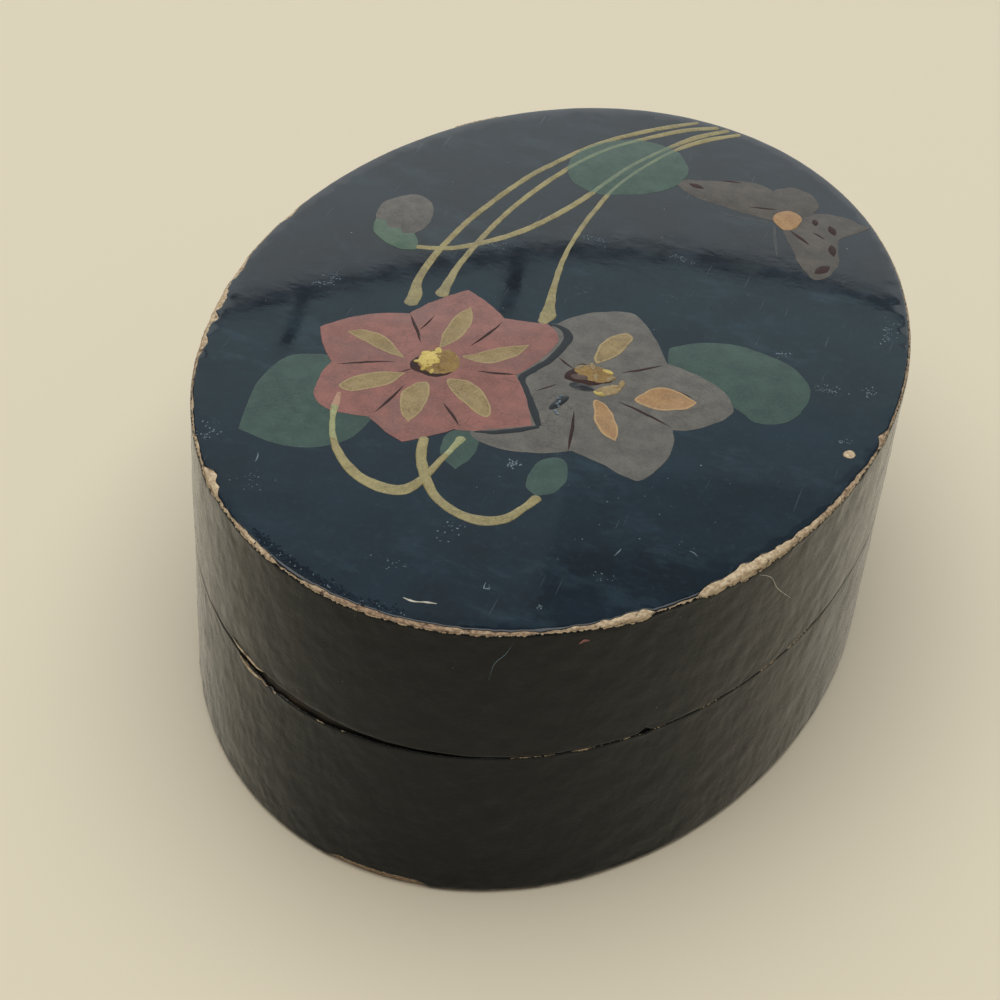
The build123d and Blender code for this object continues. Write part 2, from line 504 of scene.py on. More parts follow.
frayed = 0.08 * mm * edge_noise(lid_top, 0.8 * mm, 8.0) + 0.06 * mm * edge_noise(lid_top, 5 * mm, 9.0)
lid_side_low = seam + hairline + 0.4 * gape + 0.3 * torn + notch
lid_side_high = lid_top - 0.20 * mm - 0.62 * bare_edge + frayed * calm_behind
base_side_high = seam - 0.3 * hairline - 0.6 * gape - torn - 0.3 * notch
foot_worn = by_bearing([(-99, 0), (-97, 1), (-84, 1), (-82, 0), (0, 0)])
base_side_low = base_board_under + 0.10 * mm + 0.5 * mm * foot_worn
base_side_low = base_side_low + 0.09 * mm * edge_noise(0.0, 1.1 * mm, 10.0)

torn_wear = np.clip(torn / (0.3 * mm), 0, 1)
flecks = by_bearing([(-107, 0), (-105, 1), (-97, 1), (-95, 0), (0, 0)])
flecks = flecks * np.clip(3 * edge_noise(seam, 1.1 * mm, 15.0), 0, 1)
pale_seam = by_bearing([(-78, 0), (-72, 0.8), (-56, 0.9), (-30, 1), (-18, 0.5), (-8, 0), (100, 0)])
pale_seam = pale_seam * np.clip(0.6 + 0.9 * edge_noise(seam, 2.2 * mm, 11.0), 0, 1)
pebbly_lid = 0.2 + 0.5 * swell(-150, 60)
pebbly_base = 0.3 + 0.7 * swell(-150, 70)
lid_side = covering(
    "lid_side_paper",
    lid_side_low,
    lid_side_high,
    seam,
    board_under,
    0.3 * torn_wear + 0.2 * pale_seam,
    np.full(columns, 0.6),
    pebbly_lid,
)
dress(lid_side, side_material, "lid", "side_lacquer", "lid_cover")

base_side = covering(
    "base_side_paper",
    base_side_low,
    base_side_high,
    base_board_over,
    seam,
    0.2 + 0.6 * foot_worn,
    0.85 * torn_wear + 0.75 * pale_seam + 0.7 * flecks,
    pebbly_base,
)
dress(base_side, side_material, "base", "side_lacquer", "base_cover")


# Pressed boards, whose bare edges show where the papers over them are worn away

def board(name, profile, tone, seed):
    """A board with a fibrous edge. The profile gives inset and height from its lower face up."""
    rings = []
    wear = []
    for inset, height in profile:
        flat = on_oval(bearings, inset, height)
        strands = np.column_stack([distance / 5, np.full(columns, inset), np.full(columns, height)])
        fuzz = 0.06 * mm * wander(strands, 0.3 * mm, seed)
        fuzz = fuzz + 0.05 * mm * wander(flat, 1.6 * mm, seed + 1) - 0.02 * mm
        fuzz = np.minimum(fuzz, 0.02 * mm)
        keep = 0 if inset > 2.2 * mm else 1
        rings.append(on_oval(bearings, inset - keep * fuzz, height + 0.5 * keep * fuzz))
        wear.append(tone if keep else np.ones(columns))
    piece = through_rings(name, rings)
    set_wear(piece, wear)
    return piece


under_skin = 0.05 * mm
lid_board = board(
    "lid_board",
    [
        (3.0 * mm, board_under),
        (0.14 * mm, board_under),
        (0.12 * mm, board_under + 0.3 * (board_over - board_under)),
        (0.12 * mm, lid_top - 0.70 * mm),
        (0.12 * mm, lid_top - 0.50 * mm),
    ] + [
        (inset * mm, shoulder_height((inset - 0.06) * mm) - under_skin)
        for inset in (0.16, 0.22, 0.32, 0.45, 0.65, 0.9, 1.2, 1.6, 2.1, 3.0)
    ],
    tanned_edge,
    51.0,
)
dress(lid_board, board_material, "lid", "pressed_board", "lid_top_board")

base_board = board(
    "base_board",
    [
        (3.0 * mm, base_board_under),
        (0.45 * mm, base_board_under),
        (0.20 * mm, base_board_under + 0.12 * mm),
        (0.13 * mm, base_board_under + 0.35 * mm),
        (0.13 * mm, base_board_over),
        (3.0 * mm, base_board_over),
    ],
    np.full(columns, 0.6),
    53.0,
)
dress(base_board, board_material, "base", "pressed_board", "base_bottom_board")


# Lacquered facing of the lid

def facing():
    """The facing's film, broken away raggedly along the worn edge of the board."""
    ragged = 0.22 * mm + 0.72 * bare_edge
    fine = 0.09 * mm * edge_noise(lid_top, 0.7 * mm, 12.0) + 0.06 * mm * edge_noise(lid_top, 4 * mm, 13.0)
    ragged = np.maximum(ragged + fine * calm_behind, 0.15 * mm)
    rings = [on_oval(bearings, ragged + 0.04 * mm, shoulder_height(ragged) - 0.12 * mm)]
    sunk_rim = {0.0: 0.04, 0.03: 0.012}
    for further in (0.0, 0.03, 0.09, 0.2, 0.4, 0.7, 1.1, 1.6, 2.4, 4.0):
        inset = ragged + further * mm
        heights = shoulder_height(inset) - sunk_rim.get(further, 0.0) * mm
        lumps = 0.03 * mm * wander(on_oval(bearings, inset, lid_top), 2.0 * mm, 16.0)
        lumps = lumps * np.clip(1 - inset / (2.2 * mm), 0, 1)
        rings.append(on_oval(bearings, inset, heights + lumps))
    return through_rings("lid_facing", rings)


lid_facing = facing()
dress(lid_facing, lacquer_material, "lid", "top_lacquer", "lid_top_facing")

# Solids that stay in view when the lid is off
for node in ("base_wall", "inner_collar", "lid_wall"):
    recolour(node, inside_material)
recolour("base_underside_paper", underside_material)


# Painting on the lid: outlines in millimetres on the lid's face, relief in fractions of a millimetre
# over lid_face. Paint reaches down into the lacquer by paint_root.

lid_face = lid_top / mm
paint_root = 0.03


def smooth_step(before, start, end, after, t):
    """A point between start and end on the smooth curve through all four."""
    return 0.5 * (
        2 * start
        + (end - before) * t
        + (2 * before - 5 * start + 4 * end - after) * t * t
        + (3 * start - before - 3 * end + after) * t ** 3
    )


def smooth_line(points, steps=14):
    """A smooth curve through the given points."""
    points = [np.array(point, float) for point in points]
    points = [2 * points[0] - points[1]] + points + [2 * points[-1] - points[-2]]
    curve = [
        smooth_step(*points[index - 1:index + 3], step / steps)
        for index in range(1, len(points) - 2)
        for step in range(steps)
    ]
    return np.array(curve + [points[-2]])


def smooth_loop(points, corners=(), steps=8):
    """A smooth closed outline through the given points, with a corner at those numbered in corners."""
    points = np.array(points, float)
    count = len(points)
    outline = []
    for index in range(count):
        following = (index + 1) % count
        start = points[index]
        end = points[following]
        before = 2 * start - end if index in corners else points[index - 1]
        after = 2 * end - start if following in corners else points[(index + 2) % count]
        outline += [smooth_step(before, start, end, after, step / steps) for step in range(steps)]
    return np.array(outline)


def inside(spots, outline):
    """Whether each spot lies inside a closed outline."""
    x, y = np.asarray(spots, float).T[:2]
    found = np.zeros(len(x), bool)
    for (x1, y1), (x2, y2) in zip(outline, np.roll(outline, -1, 0)):
        crosses = (y1 > y) != (y2 > y)
        found ^= crosses & (x < x1 + (y - y1) * (x2 - x1) / ((y2 - y1) or 1e-12))
    return found


def lid_surface(x, y):
    """Height of the lid's top at a place on it, all in millimetres."""
    share = np.hypot(x / (half_width / mm), y / (half_length / mm))
    return shoulder_height((1 - share) * half_width) / mm


def turned_left(outline):
    """1 if a closed outline runs anticlockwise, and -1 if it runs clockwise."""
    x, y = np.array(outline, float).T[:2]
    return 1 if np.sum(x * np.roll(y, -1) - y * np.roll(x, -1)) > 0 else -1


def arcs(corners, steps=14):
    """A closed outline of arcs. Each corner is x, y and the arc's rise to the next one, as a share."""
    outline = []
    side = turned_left(corners)
    for index, (x, y, rise) in enumerate(corners):
        end = np.array(corners[(index + 1) % len(corners)][:2], float)
        start = np.array((x, y), float)
        chord = end - start
        outwards = side * np.array((chord[1], -chord[0]))
        for step in range(steps):
            t = step / steps
            outline.append(start + chord * t + outwards * rise * 4 * t * (1 - t))
    return np.array(outline)


def lens(start, end, width, lean=0.0, steps=18):
    """A pointed petal mark from start to end, bowed by lean."""
    start = np.array(start, float)
    end = np.array(end, float)
    chord = end - start
    long = np.linalg.norm(chord)
    across = np.array((-chord[1], chord[0])) / long
    sides = []
    for side in (1, -1):
        for step in range(steps):
            t = step / steps if side == 1 else 1 - step / steps
            half = 0.5 * width * math.sin(math.pi * t) ** 0.8
            bow = lean * long * math.sin(math.pi * t)
            sides.append(start + chord * t + across * (side * half + bow))
    return np.array(sides)


def wobble(outline, amount, seed):
    """A brush's unsteadiness along an outline."""
    places = np.column_stack([outline, np.zeros(len(outline))])
    sideways = wander(places, 1.3, seed)
    lengthways = wander(places, 1.3, seed + 9)
    return outline + amount * np.column_stack([sideways, lengthways])


def drawn_in(outline, amount):
    """An outline drawn in by a small amount, square to itself."""
    ahead = np.roll(outline, -1, 0) - np.roll(outline, 1, 0)
    ahead /= np.maximum(np.linalg.norm(ahead, axis=1, keepdims=True), 1e-9)
    inwards = np.column_stack([-ahead[:, 1], ahead[:, 0]]) * turned_left(outline)
    return outline + inwards * amount


def slimmed(outline, amount):
    """An outline made smaller by about that much on each side, keeping its shape."""
    centre = outline.mean(0)
    axes = np.linalg.svd(outline - centre, full_matrices=False)[2]
    spread = (outline - centre) @ axes.T
    return centre + (spread * np.maximum(1 - amount / np.abs(spread).max(0), 0.1)) @ axes


def patch(name, outline, level, material, seed=0.0, shaky=0.06, bevel=0.06, rim=0.0):
    """A flat patch of paint with soft edges. level is its height over the lacquer, in millimetres.

    rim is the width of the thicker paint along its edge, where its wear goes from 1 to 0.
    """
    outline = wobble(np.asarray(outline, float), shaky, seed)
    layers = [
        (0.0, lid_face - paint_root, 1),
        (0.0, lid_face + 0.3 * level, 1),
        (0.35 * bevel, lid_face + 0.8 * level, 1),
        (bevel, lid_face + level, 1),
    ]
    if rim:
        layers.append((bevel + 0.45 * rim, lid_face + 0.95 * level, 0.5))
        layers.append((bevel + rim, lid_face + 0.88 * level, 0))
    rings = []
    wear = []
    for inset, height, worn in layers:
        line = slimmed(outline, inset) if rim else drawn_in(outline, inset)
        rings.append(np.column_stack([line, np.full(len(line), height)]) * mm)
        wear.append(np.full(len(line), worn if rim else 0))
    piece = through_rings(name, rings)
    set_wear(piece, wear)
    dress(piece, material, "lid", "top_lacquer")


def repaint(piece, outline, material):
    """Gives the part of a piece that lies over an outline another paint."""
    piece.data.materials.append(material)
    number = len(piece.data.materials) - 1
    centres = np.array([polygon.center[:2] for polygon in piece.data.polygons]) / mm
    for polygon, within in zip(piece.data.polygons, inside(centres, outline)):
        if within:
            polygon.material_index = number


def turned_by(x, y, angle):
    """A place or outline turned about zero."""
    return np.array([x * math.cos(angle) - y * math.sin(angle), x * math.sin(angle) + y * math.cos(angle)])


def flecks_at(name, centre, spread, count, size, material, seed, level=0.012, lie=0.0):
    """A cluster of tiny irregular flecks about a place on the lid, in millimetres, lying at that angle."""
    dice = np.random.default_rng(seed)
    vertices = []
    faces = []
    for fleck in range(count):
        middle = np.array(centre) + turned_by(*(np.array(spread) * dice.normal(size=2) * 0.5), lie)
        corners = int(dice.integers(5, 9))
        around = (np.arange(corners) + dice.uniform(0, 0.8, corners)) * 2 * math.pi / corners
        reach = 0.5 * size * dice.uniform(0.45, 1.1) * dice.uniform(0.6, 1.2, corners)
        turn = dice.uniform(0, math.pi)
        outline = turned_by(1.4 * reach * np.cos(around), 0.8 * reach * np.sin(around), turn)
        x, y = outline + middle[:, None]
        start = len(vertices)
        for rise in (-paint_root, level):
            vertices += [(px * mm, py * mm, (lid_surface(px, py) + rise) * mm) for px, py in zip(x, y)]
        faces.append(tuple(start + corners + step for step in range(corners)))
        faces.append(tuple(start + step for step in reversed(range(corners))))
        for step in range(corners):
            beside = (step + 1) % corners
            faces.append((start + step, start + beside, start + corners + beside, start + corners + step))
    dress(blank_mesh(name, vertices, faces, smooth=False), material, "lid", "top_lacquer")


def thread(name, places, radius, material, body):
    """A hair or fibre lying along the wall, through places given as bearing in degrees and height in mm."""
    spots = [on_oval(math.radians(bearing), -0.03 * mm, height * mm) for bearing, height in places]
    line = smooth_line(spots, 10)
    ahead = np.gradient(line, axis=0)
    ahead /= np.linalg.norm(ahead, axis=1, keepdims=True)
    outwards = line * (1, 1, 0) / np.linalg.norm(line[:, :2], axis=1, keepdims=True)
    across = np.cross(ahead, outwards)
    taper = np.sin(np.linspace(0.25, math.pi - 0.25, len(line)))
    around = np.linspace(0, 2 * math.pi, 6, endpoint=False)
    rings = []
    for index, spot in enumerate(line):
        reach = radius * mm * taper[index]
        rings.append([
            spot + reach * (math.cos(angle) * across[index] + math.sin(angle) * outwards[index])
            for angle in around
        ])
    dress(through_rings(name, rings), material, body, "side_lacquer")


def stroke(name, points, widths, level, material, seed=0.0, shaky=0.04):
    """One pull of a loaded brush: a low ridge along a curve, its width changing as given."""
    line = wobble(smooth_line(points), shaky, seed)
    count = len(line)
    halves = 0.5 * np.interp(np.linspace(0, 1, count), np.linspace(0, 1, len(widths)), widths)
    places = np.column_stack([line, np.zeros(count)])
    halves = halves * (1 + 0.12 * wander(places, 1.1, seed + 3))
    ahead = np.gradient(line, axis=0)
    ahead /= np.linalg.norm(ahead, axis=1, keepdims=True)
    across = np.column_stack([-ahead[:, 1], ahead[:, 0]])
    profile = [(-1.0, 0.0), (-0.85, 0.55), (-0.45, 0.9), (0.0, 1.0), (0.45, 0.9), (0.85, 0.55), (1.0, 0.0)]
    tip_widths = (1.0, 0.72, 0.12)
    tip_reaches = (0, 0.55, 1.0)
    rings = []
    for index in range(-2, count + 2):
        nearest = min(max(index, 0), count - 1)
        beyond = index - nearest
        tip = tip_widths[abs(beyond)]
        reach = tip_reaches[abs(beyond)] * np.sign(beyond)
        centre = line[nearest] + ahead[nearest] * halves[nearest] * 0.7 * reach
        half = across[nearest] * halves[nearest]
        section = [(aside, lid_face + level * rise * tip) for aside, rise in profile]
        section += [(1.0, lid_face - paint_root), (-1.0, lid_face - paint_root)]
        rings.append([(*(centre + half * aside * tip), height) for aside, height in section])
    piece = through_rings(name, np.array(rings) * mm)
    dress(piece, material, "lid", "top_lacquer")
    return piece


rose_paint = paint("rose_paint", (116, 76, 70), (138, 91, 83), 61, worn=(84, 56, 54))
mauve_paint = paint("mauve_paint", (76, 74, 70), (98, 95, 89), 65, worn=(52, 50, 49))
leaf_paint = paint("leaf_paint", (38, 61, 56), (52, 76, 68), 69, worn=(30, 44, 44))
far_leaf_paint = paint("far_leaf_paint", (52, 74, 66), (66, 88, 78), 70, worn=(40, 58, 54))
calyx_paint = paint("calyx_paint", (58, 82, 68), (78, 100, 82), 73)
gold_paint = paint("gold_paint", (122, 112, 74), (150, 140, 98), 77, worn=(92, 78, 48))
pale_stem = paint("pale_stem", (92, 108, 86), (112, 124, 98), 78, worn=(60, 80, 68))
pink_stem = paint("pink_stem", (150, 112, 92), (168, 132, 108), 79, worn=(128, 84, 78))
broken_stem = paint("broken_stem", (118, 124, 84), (156, 158, 116), 80, worn=(44, 66, 58))
petal_gold = paint("petal_gold", (122, 104, 66), (148, 129, 90), 81, worn=(92, 68, 42), rim=(154, 137, 97))
orange_gold = paint("orange_gold", (138, 104, 66), (160, 127, 86), 85, worn=(102, 72, 46), rim=(166, 138, 98))
yellow_paint = paint("yellow_paint", (158, 134, 52), (200, 180, 100), 89, worn=(86, 60, 30))
brown_gold = paint("brown_gold", (110, 84, 38), (142, 114, 58), 90, worn=(56, 38, 24))
black_paint = paint("black_line", (10, 14, 19), (19, 24, 29), 93, worn=(34, 40, 46), roughness=0.3)
# Dark brown paint for the drawn lines, and also for the painted shadows of the flower centres
brown_line_and_painted_shadow = paint("brown_line_and_painted_shadow", (42, 26, 24), (56, 36, 33), 97, shine=0.15)
mauve_heart = paint("mauve_heart", (52, 36, 34), (84, 62, 52), 98, worn=(24, 18, 20))
bruised_lacquer = paint("bruised_lacquer", (8, 18, 29), (15, 28, 40), 99, worn=(34, 50, 62), shine=0.1)
wing_paint = paint("wing_paint", (64, 60, 55), (84, 78, 71), 101, worn=(44, 42, 40))
dusk_paint = paint("dusk_paint", (50, 54, 56), (68, 70, 70), 105)
# Pale flecks for scuffs, dust, hairs and scratches, and also for painted glints
pale_scuff_and_glint = paint(
    "pale_scuff_and_glint", (62, 80, 92), (104, 120, 130), 107, worn=(40, 58, 70), roughness=0.6, cracked=0.0
)
white_fibre = paint("white_fibre", (150, 146, 134), (188, 184, 170), 108, roughness=0.7, cracked=0.0)

# Leaves, under everything else
patch("left_leaf", smooth_loop([
    (-19.2, -16.6), (-22.0, -16.8), (-24.5, -18.6), (-25.3, -23.4), (-24.6, -28.0), (-23.7, -31.9),
    (-19.0, -32.6), (-15.5, -31.5), (-13.1, -28.9), (-12.3, -24.8), (-12.0, -20.0),
], corners=(5,)), 0.020, leaf_paint, 1)
patch("right_leaf", smooth_loop([
    (11.8, -1.2), (12.8, 0.6), (15.1, 2.2), (18.3, 3.1), (21.0, 2.7), (23.8, 1.9), (25.8, 0.4), (27.2, -1.8),
    (27.5, -4.4), (26.8, -7.6), (25.4, -9.3), (23.2, -9.9), (20.6, -8.3), (14.0, -6.0),
]), 0.020, leaf_paint, 2)
patch("small_leaf_left", smooth_loop([
    (-4.7, -24.6), (-3.4, -22.6), (-2.3, -22.5), (-1.2, -24.8), (-1.2, -27.4), (-2.0, -29.4), (-4.2, -27.6),
], corners=(5,)), 0.020, leaf_paint, 3, 0.15)
patch("small_leaf_right", smooth_loop([
    (5.0, -25.4), (5.8, -24.1), (7.0, -23.7), (8.1, -25.0), (8.5, -27.2), (7.8, -29.4), (6.4, -30.3),
    (5.0, -28.7),
], corners=(6,)), 0.020, leaf_paint, 4, 0.18)
top_leaf_outline = smooth_loop([
    (-9.7, 31.6), (-10.2, 34.4), (-9.6, 37.3), (-7.5, 40.6), (-3.8, 43.0), (0.7, 42.4), (3.2, 39.4),
    (3.9, 36.4), (2.6, 32.6), (-0.7, 29.6), (-4.6, 27.9), (-7.8, 29.0),
])
patch("top_leaf", top_leaf_outline, 0.030, far_leaf_paint, 5, 0.15)

# Gold stems from the lid's top edge, passing over the top leaf, each ending in a knob or at the bud
stems = {
    "stem_far_left": ([
        (1.6, 50.6), (-0.6, 48.7), (-4.0, 45.3), (-7.6, 40.8), (-10.0, 36.6), (-11.6, 33.0), (-13.2, 29.2),
        (-14.4, 25.2), (-15.5, 20.8), (-16.6, 15.4), (-17.3, 9.5), (-17.5, 5.0), (-17.3, 0.8), (-16.6, -1.8),
        (-16.4, -3.6),
    ], [0.6, 0.9, 0.9, 0.8, 0.75, 0.8, 0.8, 0.75, 0.75, 0.75, 0.85, 0.95, 1.5, 1.6]),
    "stem_left": ([
        (4.2, 50.4), (0.7, 48.0), (-3.2, 43.8), (-6.6, 39.3), (-8.9, 34.6), (-10.4, 30.4), (-11.7, 25.8),
        (-12.9, 20.4), (-13.7, 14.8), (-14.1, 10.0), (-14.3, 5.2), (-14.1, 1.4), (-14.0, -0.6),
    ], [0.8, 1.0, 0.8, 0.7, 0.7, 0.75, 0.75, 0.7, 0.7, 0.7, 0.75, 1.1, 1.5]),
    "stem_to_bud": ([
        (5.6, 50.2), (2.8, 47.2), (0.1, 42.8), (-2.9, 36.4), (-4.7, 30.6), (-5.9, 26.2),
        (-7.8, 21.0), (-10.3, 15.8), (-13.3, 11.8), (-16.6, 8.8), (-20.9, 7.3),
    ], [0.8, 1.0, 0.75, 0.7, 0.75, 0.8, 0.85, 0.9, 0.9, 0.9, 0.8]),
    "stem_right": ([
        (7.2, 49.8), (3.8, 46.6), (1.0, 42.5), (-1.6, 36.2), (-3.3, 30.0), (-3.9, 24.6),
        (-4.2, 19.6), (-4.2, 15.0), (-3.9, 10.6), (-3.2, 5.8), (-2.5, 2.2), (-2.1, 0.4), (-2.2, -1.2),
    ], [0.7, 1.0, 0.65, 0.6, 0.6, 0.6, 0.6, 0.55, 0.65, 0.75, 1.1, 1.75, 1.2]),
}
for number, (name, (points, widths)) in enumerate(stems.items(), 11):
    repaint(stroke(name, points, widths, 0.045, gold_paint, number), top_leaf_outline, pale_stem)

# Bud
patch("bud", smooth_loop([
    (-25.7, 17.4), (-23.8, 18.6), (-21.8, 17.4), (-20.6, 14.4), (-20.8, 11.0), (-22.4, 9.2), (-24.9, 9.8),
    (-26.6, 11.8), (-27.0, 14.9),
]), 0.030, mauve_paint, 6, 0.12)
patch("calyx", smooth_loop([
    (-26.4, 11.4), (-25.8, 9.0), (-23.9, 7.2), (-21.6, 6.4), (-19.8, 6.9), (-20.2, 8.6), (-21.2, 10.2),
    (-22.4, 9.7), (-23.2, 10.6), (-24.4, 10.2), (-25.2, 11.4),
], corners=(0, 4, 6, 8, 10)), 0.045, calyx_paint, 7, 0.12)

# Butterfly
patch("butterfly_left_wing", smooth_loop([
    (15.8, 30.9), (12.6, 31.0), (9.3, 31.5), (5.9, 32.2), (3.4, 34.2), (4.2, 35.8), (6.4, 36.6),
    (10.1, 38.3), (12.8, 38.4), (15.2, 37.0), (16.4, 34.0),
]), 0.020, wing_paint, 21, 0.2)
patch("butterfly_upper_wing", smooth_loop([
    (14.3, 36.9), (15.0, 38.5), (16.5, 39.5), (18.3, 39.0), (19.8, 37.4), (20.3, 35.6), (19.4, 33.2),
    (17.2, 32.0), (15.2, 33.4),
]), 0.026, wing_paint, 22, 0.2)
patch("butterfly_right_wing", smooth_loop([
    (18.3, 33.2), (21.1, 34.8), (24.0, 34.9), (27.0, 33.9), (25.3, 31.4), (24.0, 29.6), (24.5, 27.0),
    (25.0, 24.8), (24.8, 22.2), (24.0, 20.2), (22.8, 19.9), (20.9, 22.3), (19.0, 26.0), (17.5, 29.2),
], corners=(3,)), 0.023, wing_paint, 23, 0.2)
wing_marks = [
    ((4.5, 35.0), (6.6, 34.6), 0.9),
    ((20.3, 33.2), (20.8, 31.6), 0.8),
    ((22.3, 32.4), (23.4, 30.4), 1.0),
    ((23.4, 28.2), (24.2, 25.6), 1.0),
    ((24.2, 23.4), (22.9, 21.0), 1.3),
    ((18.3, 29.3), (21.1, 27.0), 0.5),
    ((15.7, 33.4), (12.6, 32.7), 0.4),
    ((8.0, 37.4), (10.4, 38.0), 0.4),
    ((20.8, 30.0), (22.6, 29.0), 0.35),
]
for number, (start, end, width) in enumerate(wing_marks, 1):
    patch(f"wing_mark_{number}", lens(start, end, width), 0.034, brown_line_and_painted_shadow, 30 + number, 0.12, 0.04)
patch("butterfly_body", smooth_loop([
    (16.0, 30.6), (15.9, 32.2), (17.0, 33.7), (18.5, 33.3), (19.1, 31.9), (18.6, 29.8), (17.4, 29.2),
]), 0.070, orange_gold, 24, 0.12, 0.12)
feelers = [
    ("butterfly_left_feeler", [(15.4, 30.1), (12.6, 29.8), (9.8, 29.7)], [0.3, 0.25, 0.15]),
    ("butterfly_right_feeler", [(16.4, 29.3), (17.2, 26.2), (18.1, 23.1)], [0.3, 0.4, 0.2]),
]
for number, (name, points, widths) in enumerate(feelers, 25):
    stroke(name, points, widths, 0.03, dusk_paint, number)

# Mauve flower, behind the rose one
mauve_outline = smooth_loop([
    (-0.8, -1.2), (0.7, 1.3), (2.9, 3.2), (5.2, 4.3), (6.7, 4.3), (8.7, 2.2), (10.7, -0.7), (12.2, -3.4),
    (14.5, -3.8), (17.5, -4.9), (19.5, -6.5), (20.7, -8.8), (20.3, -10.6), (18.8, -12.7), (17.3, -14.0),
    (15.9, -14.6), (16.6, -17.2), (16.4, -20.6), (15.2, -23.9), (13.6, -24.0), (11.0, -23.0), (7.5, -22.1),
    (5.6, -23.3), (3.2, -24.2), (0.6, -24.6), (-2.4, -23.6), (-3.0, -20.0), (-3.0, -6.0),
], corners=(7, 15, 21))
patch("mauve_flower", mauve_outline, 0.035, mauve_paint, 41, 0.1)

# Rose flower, with the strip of bare black that parts the two
stroke("flower_gap", [
    (-1.0, -1.3), (0.5, -1.8), (1.2, -3.1), (1.3, -5.0), (0.8, -7.6), (-0.3, -10.3), (-0.9, -12.1),
    (0.3, -14.5), (1.9, -17.0), (3.2, -19.4),
], [0.6, 1.5, 1.7, 1.5, 1.4, 1.4, 1.4, 1.4, 1.5, 1.0], 0.045, black_paint, 42, 0.12)
stroke("flower_gap_foot", [(3.2, -19.6), (1.8, -20.8), (-0.4, -22.2), (-2.2, -23.0)], [0.8, 1.2, 1.1, 0.4],
       0.045, black_paint, 43, 0.12)
rose_outline = arcs([
    (-11.6, 1.4, 0.05), (-6.2, -2.3, 0.0), (-1.5, -1.5, 0.12), (0.5, -4.1, 0.05), (-1.6, -11.9, 0.03),
    (2.6, -19.6, 0.01), (-1.9, -22.6, 0.04), (-4.3, -23.4, 0.03), (-8.3, -27.4, 0.04), (-12.9, -24.8, 0.05),
    (-17.2, -25.2, 0.12), (-19.4, -23.2, 0.06), (-19.9, -17.4, 0.04), (-23.5, -12.0, 0.1),
    (-15.8, -5.6, 0.05),
])
patch("rose_flower", rose_outline, 0.055, rose_paint, 44, 0.12)

rose_lines = [
    ((-15.7, -5.7), (-12.7, -10.4), 0.45),
    ((-6.1, -3.0), (-7.8, -9.0), 0.45),
    ((-1.5, -11.8), (-5.7, -13.0), 0.5),
    ((-6.9, -19.6), (-4.0, -22.7), 0.45),
    ((-11.5, -18.2), (-12.6, -24.1), 0.45),
    ((-19.3, -17.7), (-13.8, -14.7), 0.45),
    ((-13.2, -4.9), (-13.7, -8.3), 0.18),
    ((-12.8, -16.4), (-11.5, -15.0), 0.25),
]
mauve_lines = [
    ((11.9, -3.9), (8.2, -7.1), 0.45),
    ((1.4, -7.0), (3.5, -8.5), 0.4),
    ((9.3, -12.1), (15.7, -14.3), 0.5),
    ((5.7, -15.4), (7.2, -22.4), 0.5),
    ((2.7, -11.7), (1.1, -13.8), 0.3),
    ((14.3, -7.7), (16.5, -8.6), 0.2),
]
for flower, rows, level, seed in (("rose", rose_lines, 0.066, 50), ("mauve", mauve_lines, 0.046, 60)):
    for number, (start, end, width) in enumerate(rows, 1):
        outline = lens(start, end, 0.8 * width, 0.02)
        patch(f"{flower}_line_{number}", outline, level, brown_line_and_painted_shadow, seed + number, 0.09, 0.03)

# Gold marks on the petals: outline, paint, and which of its points are corners
rose_petal_marks = [
    ([
        (-20.5, -11.5), (-18.9, -10.6), (-16.2, -11.0), (-13.2, -13.8), (-15.0, -13.6), (-17.7, -12.8),
    ], (0, 3)),
    ([
        (-10.6, -10.3), (-11.2, -7.0), (-11.0, -3.6), (-10.2, -1.7), (-9.2, -3.8), (-9.0, -6.9), (-9.7, -9.2),
    ], (3,)),
    ([
        (-7.9, -11.0), (-6.7, -10.0), (-4.9, -7.9), (-2.2, -6.1), (-2.6, -8.5), (-4.6, -10.9), (-6.3, -11.3),
    ], (3,)),
    ([
        (-7.8, -15.6), (-5.7, -15.0), (-3.4, -16.5), (-1.8, -19.4), (-2.3, -20.2), (-4.7, -18.9),
        (-6.7, -17.3),
    ], ()),
    ([
        (-9.5, -16.8), (-8.6, -19.0), (-8.3, -22.0), (-8.9, -24.1), (-10.2, -22.8), (-11.3, -19.8),
        (-10.8, -17.9),
    ], (3,)),
    ([
        (-17.6, -20.9), (-16.4, -18.5), (-14.4, -17.0), (-12.1, -16.2), (-13.0, -18.7), (-14.7, -20.6),
        (-16.3, -21.6),
    ], (3,)),
]
for number, (points, corners) in enumerate(rose_petal_marks, 1):
    outline = smooth_loop(points, corners)
    patch(f"rose_petal_mark_{number}", outline, 0.085, petal_gold, 70 + number, 0.14, 0.1, 0.25)
mauve_petal_marks = [
    ([
        (5.3, -6.4), (4.7, -3.6), (5.3, -1.0), (6.6, 0.4), (7.6, -0.2), (7.4, -2.4), (6.6, -4.9),
    ], (3,), petal_gold),
    ([
        (10.9, -11.0), (11.7, -9.0), (13.2, -7.8), (15.1, -8.0), (17.0, -9.1), (16.2, -10.6), (14.0, -11.7),
        (12.2, -11.8),
    ], (4,), orange_gold),
    ([
        (7.1, -13.0), (8.3, -13.1), (9.8, -14.8), (10.8, -16.9), (11.1, -18.8), (9.7, -18.3), (8.3, -16.5),
    ], (4,), orange_gold),
]
for number, (points, corners, finish) in enumerate(mauve_petal_marks, 1):
    outline = smooth_loop(points, corners)
    patch(f"mauve_petal_mark_{number}", outline, 0.080, finish, 80 + number, 0.16, 0.12, 0.3)


